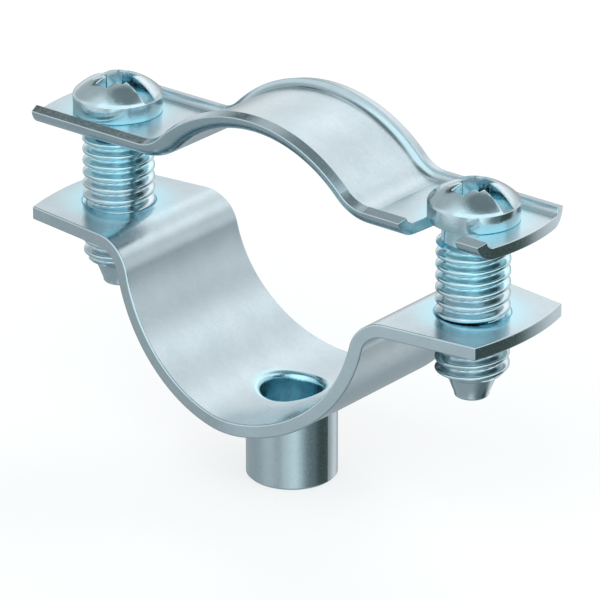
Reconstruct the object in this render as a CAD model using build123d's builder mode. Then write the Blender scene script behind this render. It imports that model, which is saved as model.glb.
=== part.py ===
from build123d import *
from math import asin, degrees, floor, sqrt
import os

# Saddle clamp: a lower shell with a threaded spigot, a strap that swings over the pipe, two M6 screws.
# Origin at the centre of the spigot's foot. +Z up, X along the ears, Y along the pipe.

# Pipe passage, shared by the saddle and the strap's arch
pipe_radius = 11.9
pipe_height = 19.5
screw_spacing = 37.0

# From each screw's axis to the corners of both ears
ear_reach = 4.57

# Lower shell: its ears' top faces lie at the height of the pipe's centre
shell_sheet = 1.15
shell_bend_radius = 2.1
shell_middle_width = 17.34
shell_end_width = 11.38
shell_end_bulge = 0.77
shell_waist_radius = 12.6
shell_edge_radius = 0.12
ear_hole_chamfer = 0.12

# Threaded spigot, drawn out of the saddle's bottom
spigot_radius = 3.8
spigot_bore_radius = 2.55
spigot_root_fillet = 0.4
spigot_foot_chamfer = 0.2
spigot_lip_fillet = 0.6

# Strap: thinner sheet, with its two long edges turned up into rims
strap_sheet = 1.0
strap_gap = 7.06
strap_web_width = 7.86
strap_bend_radius = 4.7
strap_end_bulge = 0.9
rim_inner_radius = 0.7
rim_angle = 76.0
rim_leg = 0.1
strap_edge_radius = 0.08

# M6 screws: domed head with a slot and a cross recess, plain neck, threaded shank, cone point
thread_radius = 3.0
thread_root_radius = 2.45
thread_pitch = 1.0
crest_flat = 0.25
neck_radius = 2.55
neck_length = 1.73
head_radius = 3.725
head_side = 1.52
dome_height = 1.6
shank_below_ear = 3.75
runout_length = 0.55
point_top_radius = 2.0
point_end_radius = 1.4
point_length = 1.8
slot_width = 1.28
slot_depth = 1.6
cross_width = 1.36
cross_span = 3.5
cross_depth = 2.5
left_slot_angle = -7.0
right_slot_angle = -9.0

# Radial clearances around the screws
thread_clearance = 0.05
neck_clearance = 0.2

# How closely a face or a vertex that is picked by its size has to match it
match_tolerance = 0.01

left_x = -screw_spacing / 2
right_x = screw_spacing / 2
corner_x = right_x + ear_reach
strap_underside = pipe_height + strap_gap
head_seat = strap_underside + strap_sheet

# Half of the shell's profile seen along the pipe: a flat ear rolled over into the saddle's arc
ear_roll_radius = shell_bend_radius + shell_sheet
ear_roll_x = sqrt((pipe_radius + ear_roll_radius) ** 2 - ear_roll_radius**2)
ear_roll_centre = Vector(ear_roll_x, pipe_height - ear_roll_radius)
pipe_centre = Vector(0, pipe_height)
saddle_side = (ear_roll_centre - pipe_centre).normalized()
ear_underside = pipe_height - shell_sheet
shell_end_x = corner_x + shell_end_bulge

with BuildPart() as lower_shell:
    with BuildSketch(Plane.XZ):
        with BuildLine():
            outer_saddle = RadiusArc(
                (0, ear_underside - pipe_radius),
                pipe_centre + saddle_side * (pipe_radius + shell_sheet),
                -(pipe_radius + shell_sheet),
            )
            under_roll = RadiusArc(outer_saddle @ 1, (ear_roll_x, ear_underside), shell_bend_radius)
            ear = Polyline(
                under_roll @ 1,
                (shell_end_x, ear_underside),
                (shell_end_x, pipe_height),
                (ear_roll_x, pipe_height),
            )
            over_roll = RadiusArc(ear @ 1, pipe_centre + saddle_side * pipe_radius, -ear_roll_radius)
            inner_saddle = RadiusArc(over_roll @ 1, (0, pipe_height - pipe_radius), pipe_radius)
            Line(inner_saddle @ 1, outer_saddle @ 0)
        make_face()
        mirror(about=Plane.YZ)
    extrude(amount=shell_middle_width / 2, both=True)

    # Outline seen from above: widest at its middle, a straight taper to each rounded ear end
    with BuildSketch(Plane.XY) as shell_outline:
        with BuildLine():
            front = Line((0, -shell_middle_width / 2), (corner_x, -shell_end_width / 2))
            end = ThreePointArc(front @ 1, (shell_end_x, 0), (corner_x, shell_end_width / 2))
            back = Line(end @ 1, (0, shell_middle_width / 2))
            Line(back @ 1, front @ 0)
        make_face()
        mirror(about=Plane.YZ)
        fillet(shell_outline.vertices().filter_by(lambda v: abs(v.X) < match_tolerance), shell_waist_radius)
    extrude(amount=pipe_height, mode=Mode.INTERSECT)
    fillet(lower_shell.edges(), shell_edge_radius)

    # Spigot below the saddle, with one bore through both
    with BuildSketch(Plane.XY):
        Circle(spigot_radius)
    extrude(until=Until.NEXT)
    with BuildSketch(Plane.XY):
        Circle(spigot_bore_radius)
    extrude(amount=pipe_height, mode=Mode.SUBTRACT)
    walls = lower_shell.faces().filter_by(GeomType.CYLINDER)
    spigot_wall = walls.filter_by(lambda f: abs(f.radius - spigot_radius) < match_tolerance)
    bore_wall = walls.filter_by(lambda f: abs(f.radius - spigot_bore_radius) < match_tolerance)
    fillet(spigot_wall.edges().sort_by(Axis.Z)[-1], spigot_root_fillet)
    fillet(bore_wall.edges().sort_by(Axis.Z)[-1], spigot_lip_fillet)
    foot = lower_shell.faces().sort_by(Axis.Z)[0]
    chamfer(foot.edges(), spigot_foot_chamfer)

    # Tapped hole in each ear, countersunk from both sides
    tapped_radius = thread_radius + thread_clearance
    for screw_x in (left_x, right_x):
        ear_top = Plane((screw_x, 0, pipe_height))
        ear_bottom = Plane((screw_x, 0, ear_underside), z_dir=(0, 0, -1))
        with Locations(ear_top, ear_bottom):
            CounterSinkHole(
                tapped_radius,
                tapped_radius + ear_hole_chamfer,
                depth=shell_sheet,
                counter_sink_angle=90,
            )

# The strap follows its underside, seen along the pipe: ear, concave bend, arch, bend, ear
strap_bend_height = strap_gap + strap_bend_radius
strap_bend_x = sqrt((pipe_radius + strap_bend_radius) ** 2 - strap_bend_height**2)
strap_bend_centre = Vector(strap_bend_x, pipe_height + strap_bend_height)
arch_side = (strap_bend_centre - pipe_centre).normalized()
arch_foot = pipe_centre + arch_side * pipe_radius
strap_end_x = corner_x + strap_end_bulge
rim_outer_radius = rim_inner_radius + strap_sheet

with BuildPart() as upper_shell:
    with BuildLine(Plane.XZ) as strap_path:
        Line((-strap_end_x, strap_underside), (-strap_bend_x, strap_underside))
        RadiusArc((-strap_bend_x, strap_underside), (-arch_foot.X, arch_foot.Y), -strap_bend_radius)
        RadiusArc((-arch_foot.X, arch_foot.Y), (arch_foot.X, arch_foot.Y), pipe_radius)
        RadiusArc((arch_foot.X, arch_foot.Y), (strap_bend_x, strap_underside), -strap_bend_radius)
        Line((strap_bend_x, strap_underside), (strap_end_x, strap_underside))

    # Channel section at the strap's end: flat web, rims bent up and leaning out
    section_plane = Plane(
        origin=(-strap_end_x, 0, strap_underside), x_dir=(0, 1, 0), z_dir=(1, 0, 0)
    )
    rim_centre = (strap_web_width / 2, rim_outer_radius)
    with BuildSketch(section_plane):
        with BuildLine():
            under = Line((0, 0), (strap_web_width / 2, 0))
            rim_outside = CenterArc(rim_centre, rim_outer_radius, -90, rim_angle)
            leg_outside = Line(
                rim_outside @ 1, (rim_outside @ 1) + (rim_outside % 1) * rim_leg
            )
            rim_inside = CenterArc(rim_centre, rim_inner_radius, -90, rim_angle)
            leg_inside = Line(rim_inside @ 1, (rim_inside @ 1) + (rim_inside % 1) * rim_leg)
            Line(leg_outside @ 1, leg_inside @ 1)
            over = Line(rim_inside @ 0, (0, strap_sheet))
            Line(over @ 1, under @ 0)
        make_face()
        mirror(about=Plane.YZ)
    sweep(path=strap_path.line)
    strap_width = upper_shell.part.bounding_box().size.Y

    # Ends rounded like the lower shell's
    with BuildSketch(Plane.XY.offset(strap_underside)):
        with BuildLine():
            side = Line((0, -strap_width), (corner_x, -strap_width / 2))
            tip = ThreePointArc(side @ 1, (strap_end_x, 0), (corner_x, strap_width / 2))
            far_side = Line(tip @ 1, (0, strap_width))
            Line(far_side @ 1, side @ 0)
        make_face()
        mirror(about=Plane.YZ)
    extrude(amount=2 * pipe_radius, mode=Mode.INTERSECT)

    # Round hole for the left neck. The right one is a slot about it, open at the front edge
    hole_radius = neck_radius + neck_clearance
    swing_out = degrees(asin((strap_width / 2 + 2 * hole_radius) / screw_spacing))
    with BuildSketch(Plane.XY.offset(strap_underside)):
        with Locations((left_x, 0)):
            Circle(hole_radius)
        swing_arc = CenterArc((left_x, 0), screw_spacing, -swing_out, swing_out, mode=Mode.PRIVATE)
        SlotArc(swing_arc, 2 * hole_radius)
    extrude(amount=2 * rim_outer_radius, mode=Mode.SUBTRACT)
    fillet(upper_shell.edges(), strap_edge_radius)

# The thread is a row of rings, one for each pitch, from its run-out up to the neck
neck_end = head_seat - neck_length
shank_end = ear_underside - shank_below_ear
point_top = shank_end - runout_length
ring_count = floor((neck_end - shank_end) / thread_pitch)
thread_profile = []
for ring in range(ring_count):
    crest_middle = shank_end + (ring + 1 / 2) * thread_pitch
    thread_profile += [
        (thread_root_radius, crest_middle - thread_pitch / 2),
        (thread_radius, crest_middle - crest_flat / 2),
        (thread_radius, crest_middle + crest_flat / 2),
    ]
thread_profile.append((thread_root_radius, shank_end + ring_count * thread_pitch))

# One screw profile, revolved about each of the two screw axes
head_top = head_seat + head_side + dome_height
screw_parts = []
for screw_name, screw_x, slot_angle in (
    ("left_screw", left_x, left_slot_angle),
    ("right_screw", right_x, right_slot_angle),
):
    with BuildPart() as screw:
        with BuildSketch(Plane.XZ):
            with BuildLine():
                outline = Polyline(
                    (screw_x, point_top - point_length),
                    (screw_x + point_end_radius, point_top - point_length),
                    (screw_x + point_top_radius, point_top),
                    *[(screw_x + radius, height) for radius, height in thread_profile],
                    (screw_x + neck_radius, neck_end),
                    (screw_x + neck_radius, head_seat),
                    (screw_x + head_radius, head_seat),
                    (screw_x + head_radius, head_seat + head_side),
                )
                dome_radius = (head_radius**2 + dome_height**2) / (2 * dome_height)
                dome = RadiusArc(outline @ 1, (screw_x, head_top), -dome_radius)
                Line(dome @ 1, outline @ 0)
            make_face()
        revolve(axis=Axis((screw_x, 0, 0), (0, 0, 1)))

        # Screwdriver slot right across the dome, and the deeper cross in its middle
        with BuildSketch(Plane.XY.offset(head_top)):
            with Locations((screw_x, 0)):
                Rectangle(3 * head_radius, slot_width, rotation=slot_angle)
        extrude(amount=-slot_depth, mode=Mode.SUBTRACT)
        with BuildSketch(Plane.XY.offset(head_top)):
            with Locations((screw_x, 0)):
                Rectangle(cross_span, cross_width, rotation=slot_angle)
                Rectangle(cross_width, cross_span, rotation=slot_angle)
        extrude(amount=-cross_depth, mode=Mode.SUBTRACT)
    screw.part.label = screw_name
    screw_parts.append(screw.part)

lower_shell.part.label = "lower_shell"
upper_shell.part.label = "upper_shell"

os.makedirs("parts", exist_ok=True)
export_step(lower_shell.part, "parts/lower_shell.step")
export_step(upper_shell.part, "parts/upper_shell.step")
for screw_part in screw_parts:
    export_step(screw_part, f"parts/{screw_part.label}.step")
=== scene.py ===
from math import cos, pi, radians, sin, sqrt

import bmesh
import bpy
from mathutils import Matrix, Vector


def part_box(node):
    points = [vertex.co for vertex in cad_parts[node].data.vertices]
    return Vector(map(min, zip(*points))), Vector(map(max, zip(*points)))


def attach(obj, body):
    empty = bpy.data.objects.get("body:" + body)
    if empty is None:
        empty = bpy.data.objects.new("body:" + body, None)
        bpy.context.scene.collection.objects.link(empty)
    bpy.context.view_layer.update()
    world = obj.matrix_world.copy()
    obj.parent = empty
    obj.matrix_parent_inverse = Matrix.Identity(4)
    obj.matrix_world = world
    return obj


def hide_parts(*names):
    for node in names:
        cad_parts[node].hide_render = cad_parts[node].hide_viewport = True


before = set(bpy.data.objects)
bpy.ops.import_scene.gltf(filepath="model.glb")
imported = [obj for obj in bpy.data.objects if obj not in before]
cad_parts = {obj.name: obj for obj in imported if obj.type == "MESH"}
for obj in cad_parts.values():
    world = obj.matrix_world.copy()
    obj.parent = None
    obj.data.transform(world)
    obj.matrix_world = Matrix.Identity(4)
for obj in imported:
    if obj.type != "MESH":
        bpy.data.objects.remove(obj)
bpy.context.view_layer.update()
mm = 0.001

# Lower shell. A sheet of mild steel, blanked, bent over a mandrel into a saddle with two flat ears,
# with the threaded spigot drawn out of its bottom in the same pressing. It is electro-galvanised and
# blue passivated in a barrel, so its finish is a satin grey-blue, a little cloudy.
lower_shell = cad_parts["lower_shell"]

# Where the painted bluish reflection and shade starts to fade and where it is gone, out from a hole's axis or
# upwards
painted_bore_shade = (2.7, 3.6)
painted_bore_shade_height = (8.0, 10.0)
painted_screw_hole_shade = (3.0, 5.8)

# Blender's noise seldom leaves the range from low to high
noise_low = 0.3
noise_high = 0.7
roughness_below = 0.05
roughness_above = 0.06
grain_height = 0.01


def axis_of(node):
    """Where the axis of an upright, round node stands along X, in mm."""
    low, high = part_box(node)
    return (low.x + high.x) / 2 / mm


def linear_colour(hex_colour):
    """An sRGB hex colour as linear RGBA."""
    channels = [int(hex_colour[i:i + 2], 16) / 255 for i in (1, 3, 5)]
    return [c / 12.92 if c <= 0.04045 else ((c + 0.055) / 1.055) ** 2.4 for c in channels] + [1.0]


def add_node(tree, kind, settings=None, inputs=None, links=None):
    """Adds one node: its settings by name, its input values by socket, its links as socket: output."""
    node = tree.nodes.new(kind)
    for name, value in (settings or {}).items():
        setattr(node, name, value)
    for socket, value in (inputs or {}).items():
        node.inputs[socket].default_value = value
    for socket, output in (links or {}).items():
        tree.links.new(output, node.inputs[socket])
    return node


def zinc_plating(name, bright, shade, painted_recess_blue, painted_recess_blue_where, roughness, mottle_mm, wave_mm, grain_mm, bump):
    """Blue-passivated zinc: mottled, wavy and finely grained, with a deeper blue painted in as reflection and
    shade where the mask is high.
    """
    material = bpy.data.materials.new(name)
    material.use_nodes = True
    tree = material.node_tree
    tree.nodes.clear()
    where = add_node(tree, "ShaderNodeTexCoord").outputs["Object"]
    mottle = add_node(
        tree, "ShaderNodeTexNoise",
        inputs={"Scale": 1 / (mottle_mm * mm), "Detail": 4.0, "Roughness": 0.65}, links={"Vector": where},
    )
    grain = add_node(
        tree, "ShaderNodeTexNoise",
        inputs={"Scale": 1 / (grain_mm * mm), "Detail": 3.0, "Roughness": 0.7}, links={"Vector": where},
    )
    tone = add_node(
        tree, "ShaderNodeMapRange", inputs={"From Min": noise_low, "From Max": noise_high},
        links={"Value": mottle.outputs["Fac"]},
    )

    # A Mix node takes its two colours on inputs 6 and 7, and gives the mixed one on output 2
    plain = add_node(
        tree, "ShaderNodeMix", settings={"data_type": "RGBA"},
        inputs={6: linear_colour(shade), 7: linear_colour(bright)}, links={0: tone.outputs["Result"]},
    )
    # The deeper blue is painted bluish reflection and shade, mixed in by the mask
    colour = add_node(
        tree, "ShaderNodeMix", settings={"data_type": "RGBA"}, inputs={7: linear_colour(painted_recess_blue)},
        links={0: painted_recess_blue_where(tree, where), 6: plain.outputs[2]},
    )
    rough = add_node(
        tree, "ShaderNodeMapRange",
        inputs={
            "From Min": noise_low,
            "From Max": noise_high,
            "To Min": roughness - roughness_below,
            "To Max": roughness + roughness_above,
        },
        links={"Value": grain.outputs["Fac"]},
    )
    waves = add_node(
        tree, "ShaderNodeBump", inputs={"Strength": 1.0, "Distance": wave_mm * mm},
        links={"Height": mottle.outputs["Fac"]},
    )
    relief = add_node(
        tree, "ShaderNodeBump", inputs={"Strength": bump, "Distance": grain_height * mm},
        links={"Height": grain.outputs["Fac"], "Normal": waves.outputs["Normal"]},
    )
    metal = add_node(
        tree, "ShaderNodeBsdfPrincipled", inputs={"Metallic": 1.0},
        links={
            "Base Color": colour.outputs[2],
            "Roughness": rough.outputs["Result"],
            "Normal": relief.outputs["Normal"],
        },
    )
    add_node(tree, "ShaderNodeOutputMaterial", links={"Surface": metal.outputs["BSDF"]})
    return material


def either_side(tree, where):
    """The place with its signs dropped, so that the left half is tinted as the right one."""
    return add_node(
        tree, "ShaderNodeVectorMath", settings={"operation": "ABSOLUTE"}, links={0: where}
    ).outputs["Vector"]


def distance_from_axis(tree, where, axis_x):
    """Distance from an upright axis at axis_x, or from the nearer of the two at axis_x on either side."""
    from_axis = add_node(
        tree, "ShaderNodeVectorMath", settings={"operation": "SUBTRACT"},
        inputs={1: (axis_x * mm, 0, 0)}, links={0: either_side(tree, where)},
    ).outputs["Vector"]
    level = add_node(
        tree, "ShaderNodeVectorMath", settings={"operation": "MULTIPLY"},
        inputs={1: (1, 1, 0)}, links={0: from_axis},
    ).outputs["Vector"]
    return add_node(
        tree, "ShaderNodeVectorMath", settings={"operation": "LENGTH"}, links={0: level}
    ).outputs["Value"]


def fading_out(tree, value, start, end):
    """1 up to the start, in mm, falling softly to 0 at the end."""
    return add_node(
        tree, "ShaderNodeMapRange", settings={"interpolation_type": "SMOOTHSTEP"},
        inputs={"From Min": start * mm, "From Max": end * mm, "To Min": 1.0, "To Max": 0.0},
        links={"Value": value},
    ).outputs["Result"]


def painted_shade_near_holes(tree, where):
    """Painted bluish reflection and shade: 1 inside the spigot's bore and at the screws' holes, 0 out on the
    plain sheet.
    """
    height = add_node(tree, "ShaderNodeSeparateXYZ", links={"Vector": where}).outputs["Z"]
    around_bore = fading_out(tree, distance_from_axis(tree, where, 0.0), *painted_bore_shade)
    below_arch = fading_out(tree, height, *painted_bore_shade_height)
    at_bore = add_node(
        tree, "ShaderNodeMath", settings={"operation": "MULTIPLY"}, links={0: around_bore, 1: below_arch}
    ).outputs[0]
    at_screws = fading_out(tree, distance_from_axis(tree, where, axis_of("right_screw")), *painted_screw_hole_shade)
    return add_node(
        tree, "ShaderNodeMath", settings={"operation": "MAXIMUM"}, links={0: at_bore, 1: at_screws}
    ).outputs[0]


# Pressed sheet mirrors in broad, blurred patches. Its crystals are finer than 0.05 mm, so the grain is
# drawn coarser than it is, at 0.25 mm, to show at all.
# Its deeper blue is painted reflection and shade in the spigot's bore and round the screws' holes
zinc_sheet = zinc_plating(
    "blue_passivated_zinc_on_pressed_sheet", bright="#C3D3D9", shade="#BBCBD2", painted_recess_blue="#BBE3EE",
    painted_recess_blue_where=painted_shade_near_holes, roughness=0.22, mottle_mm=2.5, wave_mm=0.008, grain_mm=0.25, bump=0.15,
)
lower_shell.material_slots[0].material = zinc_sheet

# Strap. Thinner sheet of the same steel, its two long edges turned up into stiffening rims, arched over
# the pipe. Round hole for the pivot screw on the left, open slot for the latch screw on the right.
upper_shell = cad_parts["upper_shell"]
upper_shell.material_slots[0].material = zinc_sheet

# Screws. M6 machine screws, cold-headed and thread-rolled, then zinc plated like the sheet. The domed head
# has a slot right across and a cross recess, both punched a little off its centre. The neck below it is
# thinner than the thread, so that the strap can turn on it without letting it go.
screw_length = 15.31
thread_radius = 3.0
thread_root = 2.45
pitch = 1.0
thread_start = {"left_screw": 0.0, "right_screw": 0.5}
crest_flat = 0.14
run_out_slope = 1.6
rows_per_turn = 20
neck_radius = 2.55
neck_length = 1.73
neck_fillet = 0.12
head_radius = 3.725
head_side = 1.52
head_edge = 0.1
dome_height = 1.6
dome_inset = 0.06
dome_rows = 26
point_length = 1.8
point_top_radius = 2.0
point_end_radius = 1.42
point_edge = 0.22
slot_width = 1.2
slot_depth = 1.6
slot_off_centre = 0.3
cross_width = 1.34
cross_length = 3.5
cross_breadth = 2.4
cross_depth = 2.1
cross_off_centre = (0.22, -0.2)
recess_edge = 0.06
mark_start = 0.8
mark_end = 2.05
mark_depth = 0.07
mark_half_width = 0.07

# How deep under the dome's surface the painted bluish reflection and shade is full, and where it starts
dome_painted_shade_depth = (1.2, 0.05)

tip_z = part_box("left_screw")[0].z / mm
point_z = tip_z + point_length
head_seat = tip_z + screw_length
neck_end = head_seat - neck_length
head_rim = head_seat + head_side
head_top = head_rim + dome_height
dome_radius = (head_radius**2 + dome_height**2) / (2 * dome_height)


def dome_z(radius):
    """Height of the dome's surface at a distance from the screw's axis."""
    return head_top - dome_radius + sqrt(dome_radius**2 - min(radius, head_radius) ** 2)


def corner_arc(centre, radius, start, end, steps):
    """Points of a small arc in the profile's plane: radius across, height up, in degrees."""
    turns = [radians(start + (end - start) * i / steps) for i in range(steps + 1)]
    return [(centre[0] + radius * cos(t), centre[1] + radius * sin(t)) for t in turns]


def screw_profile():
    """The screw's outline from its tip up to the top of its dome, as (radius, height) in mm."""
    tip_middle = 0.6
    shoulder_width = 0.03
    shoulder_height = 0.1
    margin = 0.02
    neck_step = 0.3
    points = [(0.0, tip_z), (tip_middle, tip_z)]
    points += corner_arc(
        (point_end_radius - point_edge, tip_z + point_edge), point_edge, start=-90, end=18, steps=6
    )
    points += [(point_top_radius - shoulder_width, point_z - shoulder_height), (point_top_radius, point_z)]

    # The thread is lifted out of these rows, which stop just short of the point and of the neck
    rows = round((neck_end - point_z) / pitch * rows_per_turn)
    rise = neck_end - point_z - 2 * margin
    points += [(thread_root, point_z + margin + rise * i / rows) for i in range(rows + 1)]

    points += [(neck_radius, neck_end), (neck_radius, neck_end + neck_step)]
    points += [(neck_radius, head_seat - neck_fillet)]
    points += corner_arc(
        (neck_radius + neck_fillet, head_seat - neck_fillet), neck_fillet, start=180, end=90, steps=4
    )
    points += corner_arc(
        (head_radius - head_edge, head_seat + head_edge), head_edge, start=-90, end=0, steps=4
    )
    points += [(head_radius, head_seat + head_side / 2)]
    points += corner_arc((head_radius - head_edge, head_rim - head_edge), head_edge, start=0, end=48, steps=4)
    for i in range(dome_rows + 1):
        radius = (head_radius - dome_inset) * (1 - i / dome_rows)
        points.append((radius, dome_z(radius)))
    return points


def revolve_tree(name, material):
    """Geometry Nodes: turns a profile line about Z, and lifts a helical thread out of it."""
    tree = bpy.data.node_groups.new(name, "GeometryNodeTree")
    tree.interface.new_socket("Profile", in_out="INPUT", socket_type="NodeSocketGeometry")
    tree.interface.new_socket("Steps Around", in_out="INPUT", socket_type="NodeSocketInt")
    for size in (
        "Pitch", "Crest Height", "Crest Flat", "Thread Bottom", "Thread Top", "Bottom Radius", "Top Radius",
        "Start Turn", "Axis X",
    ):
        tree.interface.new_socket(size, in_out="INPUT", socket_type="NodeSocketFloat")
    tree.interface.new_socket("Turned Piece", in_out="OUTPUT", socket_type="NodeSocketGeometry")

    # A grid with one column of points for each step around and one row for each point of the profile
    given = add_node(tree, "NodeGroupInput").outputs
    count = add_node(
        tree, "GeometryNodeAttributeDomainSize", links={"Geometry": given["Profile"]}
    ).outputs["Point Count"]
    outline = add_node(
        tree, "GeometryNodeSampleIndex", settings={"data_type": "FLOAT_VECTOR"},
        links={
            "Geometry": given["Profile"],
            "Value": add_node(tree, "GeometryNodeInputPosition").outputs["Position"],
        },
    )
    on_outline = add_node(tree, "ShaderNodeSeparateXYZ", links={"Vector": outline.outputs["Value"]}).outputs

    # The crest is flat on top and falls in a soft curve to a round root, half a pitch away
    crest = add_node(
        tree, "ShaderNodeMapRange", settings={"interpolation_type": "SMOOTHSTEP"},
        inputs={"To Min": 1.0, "To Max": 0.0}, links={"From Min": given["Crest Flat"]},
    )

    known = {socket.name: socket for socket in given}
    known["Index"] = add_node(tree, "GeometryNodeInputIndex").outputs["Index"]
    known["Count"] = count
    known["Plain Radius"] = on_outline["X"]
    known["Height"] = on_outline["Z"]
    known["Crest"] = crest.outputs["Result"]

    # Each line is one Math node: what it gives, what it does, and the values that it works on
    for result, operation, *terms in (
        ("Columns", "ADD", "Steps Around", 1.0),
        ("Part Column", "DIVIDE", "Index", "Count"),
        ("Column", "FLOOR", "Part Column"),
        ("Turn", "DIVIDE", "Column", "Steps Around"),
        ("Row", "MODULO", "Index", "Count"),
        ("Height in Pitches", "DIVIDE", "Height", "Pitch"),
        ("Helix Turn", "ADD", "Turn", "Start Turn"),
        ("Lead", "SUBTRACT", "Height in Pitches", "Helix Turn"),
        ("Part of Pitch", "FRACT", "Lead"),
        ("Twice That", "MULTIPLY", "Part of Pitch", 2.0),
        ("Past Crest", "SUBTRACT", "Twice That", 1.0),
        ("From Crest", "ABSOLUTE", "Past Crest"),
        ("Helix Radius", "MULTIPLY_ADD", "Crest", "Crest Height", "Plain Radius"),
        ("Over Bottom", "SUBTRACT", "Height", "Thread Bottom"),
        ("Under Top", "SUBTRACT", "Thread Top", "Height"),
        ("Low Cone", "MULTIPLY_ADD", "Over Bottom", run_out_slope, "Bottom Radius"),
        ("High Cone", "MULTIPLY_ADD", "Under Top", run_out_slope, "Top Radius"),
        ("Both Cones", "MINIMUM", "Low Cone", "High Cone"),
        ("Turned Down", "MINIMUM", "Helix Radius", "Both Cones"),
        ("Above Bottom", "GREATER_THAN", "Over Bottom", 0.0),
        ("Below Top", "GREATER_THAN", "Under Top", 0.0),
        ("In Thread", "MULTIPLY", "Above Bottom", "Below Top"),
        ("Thread Height", "SUBTRACT", "Turned Down", "Plain Radius"),
        ("Radius", "MULTIPLY_ADD", "In Thread", "Thread Height", "Plain Radius"),
        ("Angle", "MULTIPLY", "Turn", 2 * pi),
        ("Cosine", "COSINE", "Angle"),
        ("Sine", "SINE", "Angle"),
        ("X", "MULTIPLY_ADD", "Radius", "Cosine", "Axis X"),
        ("Y", "MULTIPLY", "Radius", "Sine"),
    ):
        values = {i: term for i, term in enumerate(terms) if not isinstance(term, str)}
        wires = {i: known[term] for i, term in enumerate(terms) if isinstance(term, str)}
        settings = {"operation": operation, "label": result}
        known[result] = add_node(tree, "ShaderNodeMath", settings, values, wires).outputs[0]
    tree.links.new(known["Row"], outline.inputs["Index"])
    tree.links.new(known["From Crest"], crest.inputs["Value"])

    sheet = add_node(
        tree, "GeometryNodeMeshGrid", inputs={"Size X": 1.0, "Size Y": 1.0},
        links={"Vertices X": known["Columns"], "Vertices Y": count},
    ).outputs["Mesh"]
    place = add_node(
        tree, "ShaderNodeCombineXYZ", links={"X": known["X"], "Y": known["Y"], "Z": known["Height"]}
    ).outputs["Vector"]
    turned = add_node(
        tree, "GeometryNodeSetPosition", links={"Geometry": sheet, "Position": place}
    ).outputs["Geometry"]
    closed = add_node(
        tree, "GeometryNodeMergeByDistance", inputs={"Distance": 0.001 * mm}, links={"Geometry": turned}
    ).outputs["Geometry"]
    smooth = add_node(tree, "GeometryNodeSetShadeSmooth", links={"Geometry": closed}).outputs["Geometry"]
    real = add_node(tree, "GeometryNodeRealizeInstances", links={"Geometry": smooth}).outputs["Geometry"]
    finish = add_node(
        tree, "GeometryNodeSetMaterial", inputs={"Material": material}, links={"Geometry": real}
    ).outputs["Geometry"]
    add_node(tree, "NodeGroupOutput", links={"Turned Piece": finish})
    return tree


def profile_mesh(name, points):
    """A chain of (radius, height) points in mm as a mesh of edges."""
    mesh = bpy.data.meshes.new(name)
    edges = [(i, i + 1) for i in range(len(points) - 1)]
    mesh.from_pydata([(radius * mm, 0, height * mm) for radius, height in points], edges, [])
    return mesh


def turned_piece(name, profile, tree, sizes):
    """Runs the revolve tree on a profile and keeps its result as a plain object."""
    carrier = bpy.data.objects.new(name + "_source", profile)
    bpy.context.scene.collection.objects.link(carrier)
    modifier = carrier.modifiers.new(name, "NODES")
    modifier.node_group = tree
    for item in tree.interface.items_tree:
        if item.in_out == "INPUT" and item.name in sizes:
            modifier[item.identifier] = sizes[item.name]
    evaluated = carrier.evaluated_get(bpy.context.evaluated_depsgraph_get())
    result = bpy.data.meshes.new_from_object(evaluated)
    bpy.data.objects.remove(carrier)
    result.name = name
    piece = bpy.data.objects.new(name, result)
    bpy.context.scene.collection.objects.link(piece)
    return piece


def add_recess_block(cutter, centre, length, width, depth):
    """One straight-walled block of the recess, whose rim flares out where it meets the dome."""
    point_spacing = 0.3
    right = length / 2
    back = width / 2
    corners = [(-right, -back), (right, -back), (right, back), (-right, back)]
    outline = []
    for k in range(4):
        (x0, y0), (x1, y1) = corners[k], corners[(k + 1) % 4]
        steps = max(2, round(abs(x1 - x0 + y1 - y0) / point_spacing))
        outline += [(x0 + (x1 - x0) * i / steps, y0 + (y1 - y0) * i / steps) for i in range(steps)]

    # How far each ring of the wall stands out, and how high over the dome it is, in widths of the soft edge
    bottom = head_top - depth
    levels = [(0.0, None), (0.0, -2.0), (0.3, -0.9), (1.0, -0.1), (2.6, 1.0), (2.6, 8.0)]
    rings = []
    for grow, lift in levels:
        ring = []
        for x, y in outline:
            wide_x = x * (1 + 2 * grow * recess_edge / length) + centre[0]
            wide_y = y * (1 + 2 * grow * recess_edge / width) + centre[1]
            z = bottom if lift is None else dome_z(sqrt(wide_x**2 + wide_y**2)) + lift * recess_edge
            ring.append(cutter.verts.new((wide_x * mm, wide_y * mm, max(z, bottom) * mm)))
        rings.append(ring)
    for low, high in zip(rings, rings[1:]):
        for i in range(len(low)):
            j = (i + 1) % len(low)
            cutter.faces.new((low[i], low[j], high[j], high[i]))
    cutter.faces.new(list(reversed(rings[0])))
    cutter.faces.new(rings[-1])


def add_mark(cutter, turn):
    """One fine V-shaped mark between two arms of the cross, as a bar with five long sides."""
    proud = 0.02
    roof = 0.3
    points = []
    for radius in (mark_start, mark_end):
        z = dome_z(radius)
        points += [(radius, -mark_half_width, z + proud), (radius, mark_half_width, z + proud)]
        points += [(radius, 0, z - mark_depth)]
        points += [(radius, -2 * mark_half_width, z + roof), (radius, 2 * mark_half_width, z + roof)]
    matrix = Matrix.Rotation(radians(turn), 3, "Z")
    centre = Vector((*cross_off_centre, 0))
    verts = [cutter.verts.new((matrix @ Vector(point) + centre) * mm) for point in points]
    for face in (
        (0, 3, 4, 1, 2), (7, 6, 9, 8, 5),
        (0, 2, 7, 5), (2, 1, 6, 7), (1, 4, 9, 6), (4, 3, 8, 9), (3, 0, 5, 8),
    ):
        cutter.faces.new([verts[i] for i in face])


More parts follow.
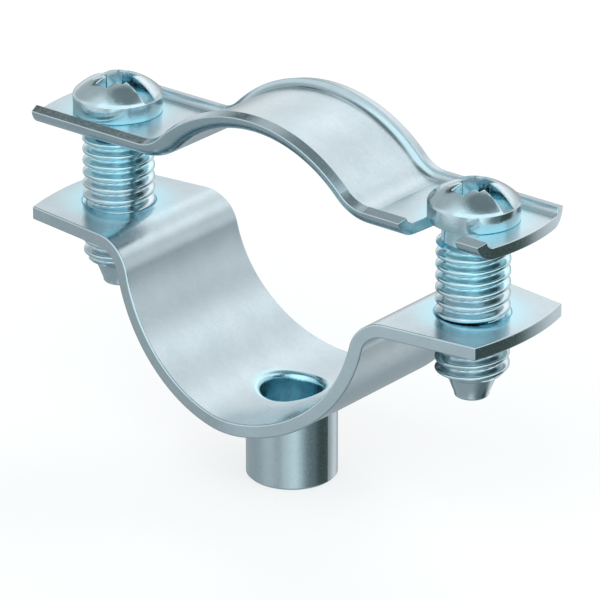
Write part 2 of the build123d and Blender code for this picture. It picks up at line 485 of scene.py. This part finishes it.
def recess_cutter(axis_x, turn):
    """Slot, cross and marks together, as the block that is cut out of the head."""
    slot_length = 3 * head_radius
    floor_step = 0.01
    cutter = bmesh.new()
    add_recess_block(cutter, (0, slot_off_centre), slot_length, slot_width, slot_depth)

    # The floors of the cross's two arms differ by a hair, so that no two faces lie in one plane
    add_recess_block(cutter, cross_off_centre, cross_breadth, cross_width, cross_depth)
    add_recess_block(cutter, cross_off_centre, cross_width, cross_length, cross_depth + floor_step)
    for mark_turn in (45, 135, 225, 315):
        add_mark(cutter, mark_turn)
    bmesh.ops.recalc_face_normals(cutter, faces=cutter.faces)
    bmesh.ops.rotate(cutter, verts=cutter.verts, matrix=Matrix.Rotation(radians(turn), 3, "Z"))
    bmesh.ops.translate(cutter, verts=cutter.verts, vec=(axis_x * mm, 0, 0))
    mesh = bpy.data.meshes.new("recess")
    cutter.to_mesh(mesh)
    cutter.free()
    piece = bpy.data.objects.new("recess", mesh)
    bpy.context.scene.collection.objects.link(piece)
    return piece


def cut_out(piece, cutter):
    """Takes the cutter's shape out of the piece, and removes the cutter."""
    crease_angle = 38
    cut = piece.modifiers.new("cut", "BOOLEAN")
    cut.operation = "DIFFERENCE"
    cut.solver = "EXACT"
    cut.use_self = True
    cut.object = cutter
    evaluated = piece.evaluated_get(bpy.context.evaluated_depsgraph_get())
    finished = bpy.data.meshes.new_from_object(evaluated)
    piece.modifiers.clear()
    piece.data = finished
    finished.set_sharp_from_angle(angle=radians(crease_angle))
    bpy.data.objects.remove(cutter)


def painted_shade_under_dome(tree, where):
    """Painted bluish reflection and shade: 0 on the dome and far down the thread, 1 in the recess, on the
    upper thread and low on the head.
    """
    dome_centre = (axis_of("right_screw") * mm, 0, (head_top - dome_radius) * mm)
    from_centre = add_node(
        tree, "ShaderNodeVectorMath", settings={"operation": "DISTANCE"},
        inputs={1: dome_centre}, links={0: either_side(tree, where)},
    ).outputs["Value"]
    full, none = [dome_radius - depth for depth in dome_painted_shade_depth]
    return fading_out(tree, from_centre, full, none)


# Headed and rolled metal is smoother than the sheet, so the screws mirror more sharply. Their surface is
# not quite even, which breaks the mirrored edges. The grain is drawn coarser than it is here too.
# Its deeper blue is painted reflection and shade in the recess, on the upper thread and low on the head
zinc_screw = zinc_plating(
    "blue_passivated_zinc_on_rolled_screw", bright="#CADAE0", shade="#BCCFD6", painted_recess_blue="#BFE1EA",
    painted_recess_blue_where=painted_shade_under_dome, roughness=0.15, mottle_mm=1.5, wave_mm=0.03, grain_mm=0.3, bump=0.08,
)
screw_outline = profile_mesh("screw_outline", screw_profile())
screw_tree = revolve_tree("rolled_thread_screw", zinc_screw)

# The left screw goes with the strap. Each slot points the way that its screw happened to stop, in degrees
for node_name, body, slot_turn in (("left_screw", "strap", -7.0), ("right_screw", "latch", -9.0)):
    axis_x = axis_of(node_name)
    screw = turned_piece(
        node_name + "_threaded", screw_outline, screw_tree,
        {
            "Steps Around": 120,
            "Pitch": pitch * mm,
            "Crest Height": (thread_radius - thread_root) * mm,
            "Crest Flat": crest_flat,
            "Thread Bottom": point_z * mm,
            "Thread Top": neck_end * mm,
            "Bottom Radius": point_top_radius * mm,
            "Top Radius": neck_radius * mm,
            "Start Turn": thread_start[node_name],
            "Axis X": axis_x * mm,
        },
    )
    cut_out(screw, recess_cutter(axis_x, slot_turn))
    screw.data.materials.clear()
    screw.data.materials.append(zinc_screw)
    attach(screw, body)
    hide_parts(node_name)

# Tapped threads. The M6 thread cut into each ear's hole, in which the screw runs with a little play, and
# the one in the spigot, into which the rod is screwed. All are the lower shell's own metal, so they are
# thin sleeves just inside the walls of its holes.
ear_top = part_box("lower_shell")[1].z / mm
shell_sheet = 1.15
hole_radius = 3.05
wall_gap = 0.002
thread_inset = 0.03
thread_play = 0.04
rod_thread_bottom = 0.3
rod_thread_top = 4.6
rod_bore_radius = 2.55
rod_thread_radius = 2.43
rod_thread_depth = 0.1
rod_start_turn = 0.25
tapped_tree = revolve_tree("tapped_thread", zinc_sheet)


def tapped_thread(name, axis_x, bottom, top, bore_radius, crest_radius, thread_depth, start_turn):
    """A thin sleeve whose inside is a helical thread, between two heights in a hole."""
    skin = 0.001
    crease_angle = 50
    outer_radius = bore_radius - wall_gap
    rows = round((top - bottom) / pitch * rows_per_turn)
    points = [(outer_radius, bottom - skin)]
    points += [(crest_radius, bottom + (top - bottom) * i / rows) for i in range(rows + 1)]
    points += [(outer_radius, top + skin), (outer_radius, bottom - skin)]

    # This thread runs right to its ends, so the cones that would turn it down are kept out of its way
    out_of_the_way = 100
    sleeve = turned_piece(
        name, profile_mesh(name + "_outline", points), tapped_tree,
        {
            "Steps Around": 96,
            "Pitch": pitch * mm,
            "Crest Height": thread_depth * mm,
            "Crest Flat": crest_flat,
            "Thread Bottom": (bottom - skin / 2) * mm,
            "Thread Top": (top + skin / 2) * mm,
            "Bottom Radius": out_of_the_way * mm,
            "Top Radius": out_of_the_way * mm,
            "Start Turn": start_turn,
            "Axis X": axis_x * mm,
        },
    )
    sleeve.data.set_sharp_from_angle(angle=radians(crease_angle))
    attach(sleeve, "lower_shell")


# The screw's neck has to pass through the tapped thread too, so its crests end just outside the neck
tapped_crest = neck_radius + thread_play
for side in ("left", "right"):
    tapped_thread(
        side + "_tapped_thread", axis_of(side + "_screw"),
        bottom=ear_top - shell_sheet + thread_inset, top=ear_top - thread_inset,
        bore_radius=hole_radius, crest_radius=tapped_crest,
        thread_depth=thread_radius + thread_play - tapped_crest, start_turn=thread_start[side + "_screw"],
    )
tapped_thread(
    "rod_thread", 0.0, bottom=rod_thread_bottom, top=rod_thread_top, bore_radius=rod_bore_radius,
    crest_radius=rod_thread_radius, thread_depth=rod_thread_depth, start_turn=rod_start_turn,
)

# Studio. A white floor that keeps the clamp's shadow, and a sky of large soft patches, pale and grey,
# which only the metal mirrors: the camera sees white instead. Two weak soft lamps shape the shadow.
floor_glow = 0.7
sky_strength = 1.55
far = 2000
scene = bpy.context.scene
scene.view_settings.view_transform = "Standard"

# Matt white paper, with a glow of its own that keeps it white all round the shadow
floor_paper = bpy.data.materials.new("white_floor_paper")
floor_paper.use_nodes = True
floor_tree = floor_paper.node_tree
floor_tree.nodes.clear()
matt = add_node(floor_tree, "ShaderNodeBsdfDiffuse", inputs={"Color": linear_colour("#FFFFFF")})
glow = add_node(
    floor_tree, "ShaderNodeEmission", inputs={"Color": linear_colour("#FFFFFF"), "Strength": 1.0}
)
paper = add_node(
    floor_tree, "ShaderNodeMixShader", inputs={0: floor_glow},
    links={1: matt.outputs["BSDF"], 2: glow.outputs["Emission"]},
)
add_node(floor_tree, "ShaderNodeOutputMaterial", links={"Surface": paper.outputs["Shader"]})

floor_mesh = bpy.data.meshes.new("floor")
floor_corners = [(x * far * mm, y * far * mm, 0) for x, y in ((-1, -1), (1, -1), (1, 1), (-1, 1))]
floor_mesh.from_pydata(floor_corners, [], [(0, 1, 2, 3)])
floor_mesh.materials.append(floor_paper)
floor = bpy.data.objects.new("floor", floor_mesh)
floor.visible_glossy = False
scene.collection.objects.link(floor)


def sky_patch(tree, ray, below, azimuth, elevation, inner, outer, colour):
    """A soft round patch of one colour, laid over the sky below it. All angles are in degrees."""
    across = cos(radians(elevation))
    centre = (cos(radians(azimuth)) * across, sin(radians(azimuth)) * across, sin(radians(elevation)))
    nearness = add_node(
        tree, "ShaderNodeVectorMath", settings={"operation": "DOT_PRODUCT"},
        inputs={1: centre}, links={0: ray},
    ).outputs["Value"]
    angle = add_node(
        tree, "ShaderNodeMath", settings={"operation": "ARCCOSINE"}, links={0: nearness}
    ).outputs[0]
    cover = add_node(
        tree, "ShaderNodeMapRange", settings={"interpolation_type": "SMOOTHSTEP"},
        inputs={"From Min": radians(inner), "From Max": radians(outer), "To Min": 1.0, "To Max": 0.0},
        links={"Value": angle},
    ).outputs["Result"]
    return add_node(
        tree, "ShaderNodeMix", settings={"data_type": "RGBA"},
        inputs={7: linear_colour(colour)}, links={0: cover, 6: below},
    ).outputs[2]


world = bpy.data.worlds.new("studio")
scene.world = world
world.use_nodes = True
world_tree = world.node_tree
world_tree.nodes.clear()
ray = add_node(world_tree, "ShaderNodeTexCoord").outputs["Generated"]
height = add_node(world_tree, "ShaderNodeSeparateXYZ", links={"Vector": ray}).outputs["Z"]
rise = add_node(
    world_tree, "ShaderNodeMapRange", inputs={"From Min": -1.0}, links={"Value": height}
).outputs["Result"]
sky = add_node(
    world_tree, "ShaderNodeMix", settings={"data_type": "RGBA"},
    inputs={6: linear_colour("#838E92"), 7: linear_colour("#B0ABAA")}, links={0: rise},
).outputs[2]

# Each patch: azimuth and elevation of its centre, its full radius, the radius where it ends, its colour
for patch in (
    (-178, 70, 60, 88, "#F5F2F2"),
    (-111, 36, 51, 66, "#CDD3D5"),
    (-55, -24, 12, 28, "#B2B8BA"),
    (168, 35, 21, 46, "#9FA5A6"),
    (151, 37, 7, 11, "#252E2D"),
    (-34, 35, 53, 65, "#E3F3F6"),
    (60, -14, 28, 46, "#CCCBCC"),
    (19, -32, 19, 56, "#5A6668"),
    (34, -24, 12, 24, "#38433F"),
    (60, 77, 16, 42, "#687274"),
):
    sky = sky_patch(world_tree, ray, sky, *patch)
seen = add_node(world_tree, "ShaderNodeLightPath").outputs["Is Camera Ray"]
shown = add_node(
    world_tree, "ShaderNodeBackground", inputs={"Color": linear_colour("#FFFFFF"), "Strength": 1.0}
)
mirrored = add_node(
    world_tree, "ShaderNodeBackground", inputs={"Strength": sky_strength}, links={"Color": sky}
)
both = add_node(
    world_tree, "ShaderNodeMixShader",
    links={0: seen, 1: mirrored.outputs["Background"], 2: shown.outputs["Background"]},
)
add_node(world_tree, "ShaderNodeOutputWorld", links={"Surface": both.outputs["Shader"]})

# Each lamp: its place and its width in mm, and its power in watts
lamp_target = Vector((0, 0, 18))
for name, place, size, power in (
    ("back_lamp", (-40, 260, 300), 200, 0.3),
    ("front_lamp", (120, -240, 300), 200, 0.25),
):
    lamp = bpy.data.lights.new(name, "AREA")
    lamp.size = size * mm
    lamp.energy = power
    lamp_object = bpy.data.objects.new(name, lamp)
    lamp_object.location = Vector(place) * mm
    lamp_object.rotation_euler = (lamp_target - Vector(place)).to_track_quat("-Z", "Y").to_euler()
    lamp_object.visible_glossy = False
    scene.collection.objects.link(lamp_object)

# Camera. It looks down on the clamp from the front right, from about 45 cm, with a long lens.
camera_azimuth = radians(39.075)
camera_elevation = radians(23.353)
camera_distance = 451.463
camera_target = (0.864, 0.0, 15.649)
camera = bpy.data.cameras.new("camera")
camera.lens = 332.75
camera.sensor_width = 36.0
camera.clip_start = 10 * mm
camera_object = bpy.data.objects.new("camera", camera)
backwards = Vector((
    sin(camera_azimuth) * cos(camera_elevation),
    -cos(camera_azimuth) * cos(camera_elevation),
    sin(camera_elevation),
))
camera_object.location = (Vector(camera_target) + backwards * camera_distance) * mm
camera_object.rotation_euler = (-backwards).to_track_quat("-Z", "Y").to_euler()
scene.collection.objects.link(camera_object)
scene.camera = camera_object
